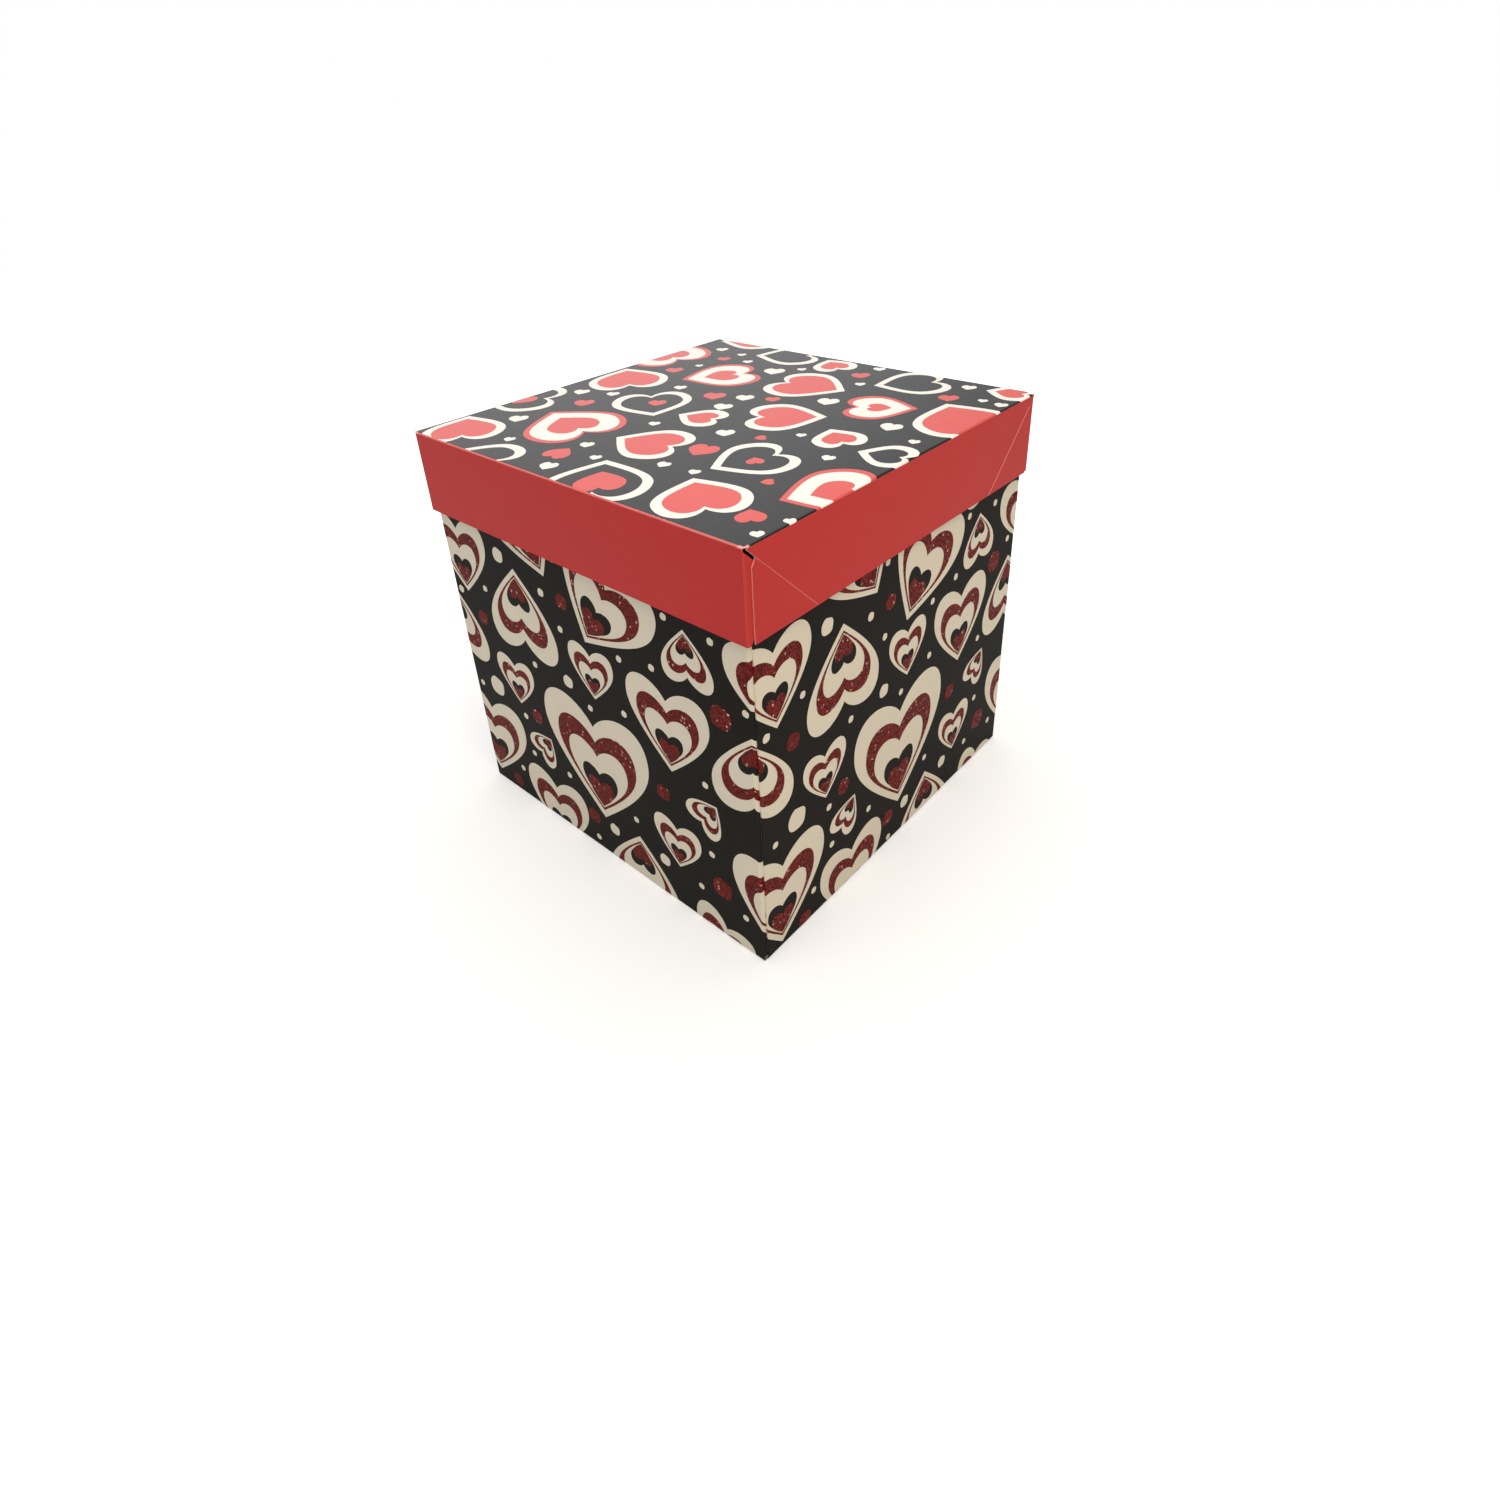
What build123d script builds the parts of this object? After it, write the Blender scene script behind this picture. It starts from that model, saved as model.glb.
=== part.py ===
"""A square gift box with a lift-off lid, both folded and glued from die-cut paperboard blanks.

Millimetres. The origin is on the floor at the middle of the base, +Z is up and -Y is the front.
Every panel between two creases is a piece of its own, and two panels meet in the middle of their fold.
"""

import os
from math import isclose, sqrt

from build123d import *

# Board and folds
board = 0.6  # thickness of the paperboard
fold_radius = 0.9  # outside radius of a folded edge
crease_depth = 0.2  # depth of a scored line that stays flat

# Base, outside sizes
base_width = 198.0
base_depth = 198.0
base_height = 199.4

# Glue seam of the base, at the front-right corner
seam_setback = 2.0  # from the front of the base to the raw edge of the right wall
seam_width = 20.0  # reach of the seam flap along the right wall
seam_end_gap = 1.0  # from the seam flap to the rim and to the side flap of the bottom
seam_taper = 8.0  # how far the free edge of the seam flap is cut back at each end

# Self-locking bottom
flap_gap = 1.0  # from a bottom flap to the walls beside it
lock_gap = 0.4  # between the two locking flaps along the middle of the bottom
side_flap_taper = 14.0  # how far the free end of a side flap leans away from the wall beside it
tongue_gap = 4.0  # beside a locking tongue, to the middle and to the side flap
tongue_width = 31.0
tongue_reach = 32.0  # how far a tongue lies over the other locking flap
tongue_ramp = 7.0  # length over which a tongue climbs by one board
tongue_chamfer = 9.0
tongue_slit = 0.4  # cut beside the root of a tongue

# Lid
lid_skirt = 38.5  # outside height of the lid's walls
lid_clearance = 1.3  # from the base walls to the glue flaps inside the lid

# Folding corners of the lid: s runs along the side wall from the corner, d runs down from the top
wall_tip_trim = 1.4  # s of the blunt upper tip of a side wall
gusset_setback = 3.5  # s of the gusset's raw edge
gusset_tip = 5.1  # s and d of the gusset's upper tip on the crease
gusset_tip_edge = 1.2  # length of the short edge below that tip
gusset_tip_slope = 2.3  # d over which the raw edge then runs back towards the corner
glue_flap_drop = 1.6  # d of the upper end of the glue flap at the corner
glue_flap_heel = 1.8  # s where the flap's lower edge leaves the rim of the lid
glue_flap_lift = 2.2  # d from the flap's lower edge to the rim of the lid

# Sizes that follow
half_width = base_width / 2
half_depth = base_depth / 2
lid_overhang = lid_clearance + 2 * board  # wall and glue flap lie one inside the other
lid_half_width = half_width + lid_overhang
lid_half_depth = half_depth + lid_overhang
lid_top = base_height + board
side_flap_reach = half_width - tongue_width - 2 * tongue_gap

directions = {"front": (0, -1, 0), "right": (1, 0, 0), "back": (0, 1, 0), "left": (-1, 0, 0)}
up = Vector(0, 0, 1)


def wall_plane(side, reach, height):
    """Plane on a wall's outer face, with its normal outwards, X to the right and Y up."""
    outward = Vector(*directions[side])
    return Plane(origin=outward * reach + up * height, x_dir=up.cross(outward), z_dir=outward)


def floor_plane(side, height):
    """Plane on a bottom flap's lower face, with Y towards the wall that carries the flap."""
    outward = Vector(*directions[side])
    return Plane(origin=up * height, x_dir=up.cross(outward), z_dir=-up)


def board_section(start, end, start_fold, end_fold):
    """Section through a panel with its outer face at Y zero. A folded end is half of its fold."""
    start_in = start + board if start_fold else start
    end_in = end - board if end_fold else end
    with BuildSketch() as section:
        with BuildLine():
            face_start = (start + fold_radius if start_fold else start, 0)
            face_end = (end - fold_radius if end_fold else end, 0)
            Line(face_start, face_end)
            if end_fold:
                bend = CenterArc((end - fold_radius, -fold_radius), fold_radius, 90, -45)
                face_end = bend @ 1
            Line(face_end, (end_in, -board))
            Line((end_in, -board), (start_in, -board))
            if start_fold:
                bend = CenterArc((start + fold_radius, -fold_radius), fold_radius, 90, 45)
                face_start = bend @ 1
            Line((start_in, -board), face_start)
        make_face()
    return section.sketch


def panel(plane, left, right, bottom, top, folds):
    """Flat panel below a plane, between four lines on it, with half a fold on each side in folds."""
    across = Plane(plane.from_local_coords((0, top, 0)), x_dir=plane.x_dir, z_dir=-plane.y_dir)
    upwards = Plane(plane.from_local_coords((left, 0, 0)), x_dir=plane.y_dir, z_dir=plane.x_dir)
    with BuildPart() as sheet:
        with BuildSketch(across):
            add(board_section(left, right, "left" in folds, "right" in folds))
        extrude(amount=top - bottom)
        with BuildSketch(upwards):
            add(board_section(bottom, top, "bottom" in folds, "top" in folds))
        extrude(amount=right - left, mode=Mode.INTERSECT)
    return sheet.part


def score(piece, plane):
    """Cuts half of a scored line along a panel's diagonal creases, on the face that lies on a plane."""
    outer_face = piece.faces().sort_by(Axis(plane.origin, plane.z_dir))[-1]
    diagonals = outer_face.edges().filter_by(
        lambda edge: isclose(abs(edge.tangent_at(0.5).dot(plane.x_dir)), sqrt(0.5), rel_tol=1e-4)
    )
    chamfer(diagonals, crease_depth)


def save(piece, name):
    """Labels a finished piece and writes it under its name."""
    piece.part.label = name
    export_step(piece.part, f"parts/{name}.step")


os.makedirs("parts", exist_ok=True)

# Base walls. The front wall's right-hand fold lies inside the right wall, which is glued over it.
front_plane = wall_plane("front", half_depth, 0)
right_plane = wall_plane("right", half_width, 0)
back_plane = wall_plane("back", half_depth, 0)
left_plane = wall_plane("left", half_width, 0)

with BuildPart() as base_front_wall:
    add(panel(front_plane, -half_width, half_width - board, 0, base_height, {"left", "right", "bottom"}))
save(base_front_wall, "base_front_wall")

with BuildPart() as base_back_wall:
    add(panel(back_plane, -half_width, half_width, 0, base_height, {"left", "right", "bottom"}))
save(base_back_wall, "base_back_wall")

with BuildPart() as base_right_wall:
    add(panel(right_plane, seam_setback - half_depth, half_depth, board, base_height, {"right", "bottom"}))
save(base_right_wall, "base_right_wall")

with BuildPart() as base_left_wall:
    add(panel(left_plane, -half_depth, half_depth, board, base_height, {"left", "right", "bottom"}))
save(base_left_wall, "base_left_wall")

# Seam flap: folded from the front wall, with both ends of its free edge cut back
seam_low = 2 * board + seam_end_gap
seam_high = base_height - seam_end_gap
seam_end = seam_width - half_depth
with BuildPart() as base_seam_flap:
    seam_plane = right_plane.offset(-board)
    add(panel(seam_plane, -half_depth, seam_end, seam_low, seam_high, {"left"}))
    with BuildSketch(seam_plane):
        with BuildLine():
            Polyline(
                (-half_depth, seam_low),
                (seam_end, seam_low + seam_taper),
                (seam_end, seam_high - seam_taper),
                (-half_depth, seam_high),
                close=True,
            )
        make_face()
    extrude(amount=board, both=True, mode=Mode.INTERSECT)
save(base_seam_flap, "base_seam_flap")

# Locking flaps: they meet along the middle, and the tongue of each lies over the other
lock_edge = lock_gap / 2
for side in ("front", "back"):
    under = floor_plane(side, 0)
    beside_tongue = Plane(
        under.from_local_coords((tongue_gap, 0, 0)), x_dir=under.y_dir, z_dir=under.x_dir
    )
    with BuildPart() as locking_flap:
        add(panel(under, flap_gap - half_width, half_width - flap_gap, lock_edge, half_depth, {"top"}))
        with BuildSketch(under):
            with Locations((tongue_gap - tongue_slit, lock_edge)):
                Rectangle(tongue_width + 2 * tongue_slit, tongue_ramp, align=Align.MIN)
        extrude(amount=-board, mode=Mode.SUBTRACT)
        with BuildSketch(beside_tongue):
            with BuildLine():
                Polyline(
                    (lock_edge + tongue_ramp, 0),
                    (lock_edge, -board),
                    (-tongue_reach, -board),
                    (-tongue_reach, -2 * board),
                    (lock_edge, -2 * board),
                    (lock_edge + tongue_ramp, -board),
                    close=True,
                )
            make_face()
        extrude(amount=tongue_width)
        tongue_corners = locking_flap.edges().filter_by(Axis.Z).group_by(Axis(under.origin, under.y_dir))[0]
        chamfer(tongue_corners, tongue_chamfer)
    save(locking_flap, f"bottom_{side}_flap")

# Side flaps lie on the locking flaps. Beyond the diagonal crease the glue tab is stuck to one of them.
flap_low = half_width - side_flap_reach
flap_end = half_depth - board - flap_gap
crease_low = half_depth - side_flap_reach
for side in ("left", "right"):
    above = floor_plane(side, board)
    with BuildPart() as side_flap:
        add(panel(above, -flap_end, flap_end, flap_low, half_width, {"top"}))
        with BuildSketch(above):
            with BuildLine():
                Polyline(
                    (-flap_end, half_width),
                    (side_flap_taper - flap_end, flap_low),
                    (crease_low, flap_low),
                    (half_depth, half_width),
                    close=True,
                )
            make_face()
        extrude(amount=board, both=True, mode=Mode.INTERSECT)
        score(side_flap, above)
    save(side_flap, f"bottom_{side}_flap")

    with BuildPart() as glue_tab:
        with BuildSketch(above):
            with BuildLine():
                Polyline(
                    (crease_low, flap_low),
                    (flap_end, flap_low),
                    (flap_end, half_width - half_depth + flap_end),
                    close=True,
                )
            make_face()
        extrude(amount=-board)
        score(glue_tab, above)
    save(glue_tab, f"bottom_{side}_glue_tab")

# Lid top and the two plain walls, whose end folds lie inside the side walls
with BuildPart() as lid_top_panel:
    add(
        panel(
            Plane.XY.offset(lid_top),
            -lid_half_width,
            lid_half_width,
            -lid_half_depth,
            lid_half_depth,
            {"left", "right", "bottom", "top"},
        )
    )
save(lid_top_panel, "lid_top_panel")

plain_end = lid_half_width - board
for side in ("front", "back"):
    plain_plane = wall_plane(side, lid_half_depth, lid_top)
    with BuildPart() as plain_wall:
        add(panel(plain_plane, -plain_end, plain_end, -lid_skirt, 0, {"left", "right", "top"}))
    save(plain_wall, f"lid_{side}_wall")

# Side walls of the lid and their folding corners
wall_end = lid_half_depth - wall_tip_trim
crease_end = lid_half_depth - lid_skirt
tip_low = gusset_tip + gusset_tip_edge
nose = tip_low + gusset_tip_slope
flap_foot = lid_skirt - glue_flap_lift
flap_reach = flap_foot - glue_flap_drop
gusset_outline = [
    (gusset_tip, gusset_tip),
    (gusset_tip, tip_low),
    (gusset_setback, nose),
    (gusset_setback, lid_skirt),
    (lid_skirt, lid_skirt),
]
glue_flap_outline = [
    (0, glue_flap_drop),
    (0, lid_skirt),
    (glue_flap_heel, lid_skirt),
    (gusset_setback, flap_foot),
    (flap_reach, flap_foot),
]


def from_corner(outline, hand):
    """Points on a side wall's plane, from points along and down from the corner at its hand end."""
    return [(hand * (lid_half_depth - along), -down) for along, down in outline]


for side in ("left", "right"):
    side_plane = wall_plane(side, lid_half_width, lid_top)
    with BuildPart() as side_wall:
        add(panel(side_plane, -wall_end, wall_end, -lid_skirt, 0, {"top"}))
        with BuildSketch(side_plane):
            with BuildLine():
                Polyline(
                    (-wall_end, 0),
                    (-wall_end, -wall_tip_trim),
                    (-crease_end, -lid_skirt),
                    (crease_end, -lid_skirt),
                    (wall_end, -wall_tip_trim),
                    (wall_end, 0),
                    close=True,
                )
            make_face()
        extrude(amount=board, both=True, mode=Mode.INTERSECT)
        score(side_wall, side_plane)
    save(side_wall, f"lid_{side}_wall")

    for hand in (-1, 1):
        corner = "back" if (hand > 0) == (side == "right") else "front"
        with BuildPart() as gusset:
            with BuildSketch(side_plane):
                with BuildLine():
                    Polyline(*from_corner(gusset_outline, hand), close=True)
                make_face()
            extrude(amount=-board)
            score(gusset, side_plane)
        save(gusset, f"lid_gusset_{corner}_{side}")

        flap_plane = side_plane.offset(-board)
        flap_ends = sorted((hand * lid_half_depth, hand * (lid_half_depth - flap_reach)))
        with BuildPart() as glue_flap:
            add(panel(flap_plane, *flap_ends, -lid_skirt, 0, {"left" if hand < 0 else "right"}))
            with BuildSketch(flap_plane):
                with BuildLine():
                    Polyline(*from_corner(glue_flap_outline, hand), close=True)
                make_face()
            extrude(amount=board, both=True, mode=Mode.INTERSECT)
        save(glue_flap, f"lid_glue_flap_{corner}_{side}")
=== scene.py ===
"""Looks of a square gift box with a lift-off lid, printed all over with hearts.

Metres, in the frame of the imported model: +Z is up and -Y is the front. The print is drawn in millimetres
on flat sheets, then laid on the board and round its folds.
"""

import logging
import math
from collections.abc import Iterable, Mapping, Sequence
from dataclasses import dataclass, field
from enum import Enum

import bpy
from mathutils import Matrix, Quaternion, Vector


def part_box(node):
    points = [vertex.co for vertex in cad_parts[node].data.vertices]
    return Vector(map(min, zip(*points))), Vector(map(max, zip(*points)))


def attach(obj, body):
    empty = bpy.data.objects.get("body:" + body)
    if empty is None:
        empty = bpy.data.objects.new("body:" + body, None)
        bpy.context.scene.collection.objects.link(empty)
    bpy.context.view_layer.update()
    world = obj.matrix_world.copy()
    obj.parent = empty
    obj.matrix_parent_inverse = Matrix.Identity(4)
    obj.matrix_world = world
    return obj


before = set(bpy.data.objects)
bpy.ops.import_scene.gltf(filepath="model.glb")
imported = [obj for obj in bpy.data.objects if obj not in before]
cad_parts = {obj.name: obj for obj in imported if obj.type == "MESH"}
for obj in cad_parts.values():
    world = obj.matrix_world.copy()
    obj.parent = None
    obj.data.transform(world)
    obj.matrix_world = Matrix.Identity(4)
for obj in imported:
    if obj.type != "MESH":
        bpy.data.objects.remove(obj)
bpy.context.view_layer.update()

log = logging.getLogger("gift_box")

MM = 0.001
BOARD = 0.6 * MM  # thickness of the paperboard
FOLD_RADIUS = 0.9 * MM  # outside radius of a folded edge
FOLD_STEP = 0.15  # length of the straight steps round a fold, for its radius
WELD = 0.0005  # distance at which two points of a flat sheet are one, in millimetres
CUT_WELD = 0.0002  # the same along a cut

RGB = tuple[float, float, float]

RED: RGB = (0.615, 0.036, 0.032)
# Pale red of ink strained on folds and scores, also laid on as a painted highlight on the lid's top fold,
# scores and back right crease.
WORN_AND_HIGHLIT_RED: RGB = (0.84, 0.27, 0.25)
RED_EDGE: RGB = (0.92, 0.46, 0.42)
LID_BLACK: RGB = (0.012, 0.013, 0.015)
BASE_BLACK: RGB = (0.0125, 0.011, 0.009)
WORN_BLACK: RGB = (0.045, 0.041, 0.037)
BLACK_EDGE: RGB = (0.06, 0.055, 0.05)
CREAM: RGB = (0.84, 0.765, 0.61)
WHITE: RGB = (0.86, 0.84, 0.78)
PALE_RED: RGB = (0.70, 0.098, 0.09)


class Body(Enum):
    """Bodies of the frame that pieces ride on."""

    BASE = "base"
    LID = "lid"


class Side(Enum):
    """Walls of the base, in the order in which the sheet runs leftwards from the seam."""

    FRONT = "front"
    LEFT = "left"
    BACK = "back"
    RIGHT = "right"


class Panels(Enum):
    """Groups of panels that share one outside."""

    BASE_FRONT = "base_front"
    BASE_BACK = "base_back"
    BASE_SIDES = "base_sides"
    LID_PLAIN = "lid_plain"
    LID_SIDES = "lid_sides"


class Ink(Enum):
    """Inks of the print, each with the material slot that it fills."""

    CREAM = "cream_ink"
    GLITTER = "red_glitter"
    WHITE = "white_ink"
    RED = "red_ink"


class LidHeart(Enum):
    """Kinds of heart on the lid's top."""

    FILLED = "white outline with a red middle"
    HOLLOW = "white outline"
    NESTED = "red outline, white band and red middle"
    WHITE = "plain white"
    RED = "plain red"


class Wire:
    """An output socket that takes part in Python expressions, which add Math nodes."""

    def __init__(self, shader: "Shader", socket: bpy.types.NodeSocket) -> None:
        """Wraps one output socket of a shader's node."""
        self.shader = shader
        self.socket = socket

    def sibling(self, name: str) -> "Wire":
        """Another output of the same node."""
        return Wire(self.shader, self.socket.node.outputs[name])

    def _math(self, operation: str, *terms: "Wire | float") -> "Wire":
        """Adds a Math node on one or two terms."""
        return self.shader.add("ShaderNodeMath", {"operation": operation}, dict(enumerate(terms)))

    def __add__(self, other: "Wire | float") -> "Wire":
        """Sum."""
        return self._math("ADD", self, other)

    def __radd__(self, other: float) -> "Wire":
        """Sum with a number first."""
        return self._math("ADD", other, self)

    def __sub__(self, other: "Wire | float") -> "Wire":
        """Difference."""
        return self._math("SUBTRACT", self, other)

    def __rsub__(self, other: float) -> "Wire":
        """Difference with a number first."""
        return self._math("SUBTRACT", other, self)

    def __mul__(self, other: "Wire | float") -> "Wire":
        """Product."""
        return self._math("MULTIPLY", self, other)

    def __rmul__(self, other: float) -> "Wire":
        """Product with a number first."""
        return self._math("MULTIPLY", other, self)

    def __abs__(self) -> "Wire":
        """Size without its sign."""
        return self._math("ABSOLUTE", self)

    def root(self) -> "Wire":
        """Square root."""
        return self._math("SQRT", self)

    def at_least(self, other: "Wire | float") -> "Wire":
        """The larger of two values."""
        return self._math("MAXIMUM", self, other)

    def at_most(self, other: "Wire | float") -> "Wire":
        """The smaller of two values."""
        return self._math("MINIMUM", self, other)

    def rise(self, low: float, high: float) -> "Wire":
        """A smooth step from 0 at low to 1 at high."""
        return self.shader.add(
            "ShaderNodeMapRange",
            {"interpolation_type": "SMOOTHSTEP"},
            {"Value": self, "From Min": low, "From Max": high},
        )


class Shader:
    """The nodes of a material or a world while they are being wired."""

    def __init__(self, owner: bpy.types.Material | bpy.types.World) -> None:
        """Starts with no nodes but the coordinates."""
        owner.use_nodes = True
        self.owner = owner
        self.tree = owner.node_tree
        self.tree.nodes.clear()
        self.place = self.add("ShaderNodeTexCoord", output="Object")

    @classmethod
    def named(cls, name: str) -> "Shader":
        """Starts a new material."""
        return cls(bpy.data.materials.new(name))

    def add(
        self,
        kind: str,
        settings: Mapping[str, object] | None = None,
        sockets: Mapping[str | int, object] | None = None,
        output: str | int = 0,
    ) -> Wire | None:
        """Adds any node.

        Args:
            kind: the node's type.
            settings: its own properties, set first.
            sockets: values or wires for its inputs, by name or number.
            output: the output that is wanted.

        Returns:
            That output as a wire, or nothing from a node that has none.
        """
        node = self.tree.nodes.new(kind)
        for name, value in (settings or {}).items():
            setattr(node, name, value)
        for name, value in (sockets or {}).items():
            if isinstance(value, Wire):
                self.tree.links.new(value.socket, node.inputs[name])
            else:
                node.inputs[name].default_value = value
        return Wire(self, node.outputs[output]) if node.outputs else None

    def noise(self, grain: float, detail: float = 3.0) -> Wire:
        """Soft noise from 0 to 1 with lumps of about one grain, in metres."""
        sockets = {"Vector": self.place, "Scale": 1 / grain, "Detail": detail}
        return self.add("ShaderNodeTexNoise", {}, sockets)

    def vector(self, operation: str, sockets: Mapping[str | int, object], output: str | int = 0) -> Wire:
        """Adds a Vector Math node."""
        return self.add("ShaderNodeVectorMath", {"operation": operation}, sockets, output)

    def mix(self, share: Wire | float, first: Wire | RGB, second: Wire | RGB) -> Wire:
        """Mixes two colours, from the first at share 0 to the second at share 1."""
        sockets = {0: share, 6: colour(first), 7: colour(second)}
        return self.add("ShaderNodeMix", {"data_type": "RGBA"}, sockets, output=2)

    def bump(self, height: Wire, depth: float) -> Wire:
        """A normal from a height between 0 and 1 that stands for a depth in metres."""
        sockets = {"Height": height, "Distance": depth, "Strength": 1.0}
        return self.add("ShaderNodeBump", {}, sockets, "Normal")

    def finish(self, **sockets: object) -> bpy.types.Material:
        """Ends the material in a Principled shader.

        Args:
            sockets: values or wires for the shader, named in lower case with underscores.

        Returns:
            The finished material.
        """
        titles = {name: name.replace("_", " ").title().replace("Ior", "IOR") for name in sockets}
        named = {titles[name]: value for name, value in sockets.items()}
        surface = self.add("ShaderNodeBsdfPrincipled", {}, named)
        self.add("ShaderNodeOutputMaterial", {}, {"Surface": surface})
        return self.owner

    def background_ray(self) -> Wire:
        """1 for rays that come from the camera, straight or through something clear."""
        ray = self.add("ShaderNodeLightPath", output="Is Camera Ray")
        return ray.at_least(ray.sibling("Is Transmission Ray"))


def colour(value: Wire | RGB) -> Wire | tuple[float, ...]:
    """A wire as it is, or an RGB triple with its alpha."""
    return value if isinstance(value, Wire) else (*value, 1.0)


def shade(tone: RGB, share: float) -> RGB:
    """A darker shade of a colour."""
    return tuple(share * part for part in tone)


@dataclass(frozen=True)
class Skin:
    """Printed outside of a folded sheet: a box with round edges, folded over at one end.

    Attributes:
        middle_x: where the box stands across its width.
        half_width: half of its size along X.
        half_depth: half of its size along Y.
        end: height of the folded end.
        upward: whether that end is the top, as on a lid.
    """

    middle_x: float
    half_width: float
    half_depth: float
    end: float
    upward: bool

    def measure(self, shader: Shader) -> "Places":
        """Wires the distances that tell a printed face from a fold, a score and a cut edge.

        Args:
            shader: the material to wire them in.

        Returns:
            The distances, in metres.
        """
        x = shader.add("ShaderNodeSeparateXYZ", {}, {0: shader.place})
        y, z = x.sibling("Y"), x.sibling("Z")
        past_x = abs(x - self.middle_x) - (self.half_width - FOLD_RADIUS)
        past_y = abs(y) - (self.half_depth - FOLD_RADIUS)
        past_z = z - (self.end - FOLD_RADIUS) if self.upward else (self.end + FOLD_RADIUS) - z
        out_x, out_y, out_z = (past.at_least(0.0) for past in (past_x, past_y, past_z))
        reach = (out_x * out_x + out_y * out_y + out_z * out_z).root()
        inside = past_x.at_least(past_y).at_least(past_z).at_most(0.0)
        return Places(
            depth=FOLD_RADIUS - reach - inside,
            level_fold=out_z.at_most(out_x.at_least(out_y)),
            upright_fold=out_x.at_most(out_y),
            corner=past_x.at_most(past_y),
            end=past_z,
            side=past_x,
            front=past_y,
            back_right=x + y,
        )


@dataclass(frozen=True)
class Places:
    """Distances over a folded panel, as wires.

    Attributes:
        depth: depth below the printed outside.
        level_fold: how far a place lies round the fold at the panel's end.
        upright_fold: how far a place lies round an upright fold.
        corner: distance past the start of an upright fold, along the panels.
        end: height past the start of the fold at the panel's end.
        side: distance past the start of the folds along the side walls.
        front: distance past the start of the folds along the front and back walls.
        back_right: above 0 on the back and right half of the box.
    """

    depth: Wire
    level_fold: Wire
    upright_fold: Wire
    corner: Wire
    end: Wire
    side: Wire
    front: Wire
    back_right: Wire


@dataclass(frozen=True)
class Outsides:
    """Outer faces of the two folded blanks, in metres.

    Attributes:
        base_x: side walls of the base.
        base_y: front and back walls of the base.
        rim: upper edge of the base.
        side_low: bottom fold of the base's side walls, which lies on the other flaps.
        seam_x: face of the seam flap, behind the right wall.
        seam_y: cut edge of the right wall at the seam.
        lid_x: side walls of the lid.
        lid_y: front and back walls of the lid.
        flap_x: faces of the lid's glue flaps, behind the side walls.
        lid_top: top of the lid.
    """

    base_x: float
    base_y: float
    rim: float
    side_low: float
    seam_x: float
    seam_y: float
    lid_x: float
    lid_y: float
    flap_x: float
    lid_top: float

    @classmethod
    def read(cls) -> "Outsides":
        """Reads the faces from the panels of the frame."""
        seam_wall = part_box("base_right_wall")
        return cls(
            base_x=seam_wall[1].x,
            base_y=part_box("base_back_wall")[1].y,
            rim=seam_wall[1].z,
            side_low=seam_wall[0].z - FOLD_RADIUS * (1 - math.sqrt(0.5)),
            seam_x=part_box("base_seam_flap")[1].x,
            seam_y=seam_wall[0].y,
            lid_x=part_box("lid_right_wall")[1].x,
            lid_y=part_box("lid_back_wall")[1].y,
            flap_x=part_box("lid_glue_flap_back_right")[1].x,
            lid_top=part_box("lid_top_panel")[1].z,
        )


@dataclass(frozen=True)
class BareBoard:
    """Uncoated side and cut edges of the paperboard.

    Attributes:
        liner: colour of the uncoated side.
        fleck: colour of the stray fibres in it.
        core: colour of a cut edge; not used.
        roughness: how matt it is.
    """

    liner: RGB = (0.76, 0.75, 0.71)
    fleck: RGB = (0.60, 0.57, 0.51)
    core: RGB = (0.86, 0.80, 0.74)
    roughness: float = 0.85

    def fibres(self, shader: Shader) -> Wire:
        """Colour of the uncoated side, with clouds of pulp and short stray fibres."""
        cloud = shader.noise(6 * MM)
        strand = shader.noise(0.5 * MM, 5.0).rise(0.62, 0.72)
        tone = shader.mix(cloud, self.liner, shade(self.liner, 0.94))
        return shader.mix(strand * 0.5, tone, self.fleck)


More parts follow.
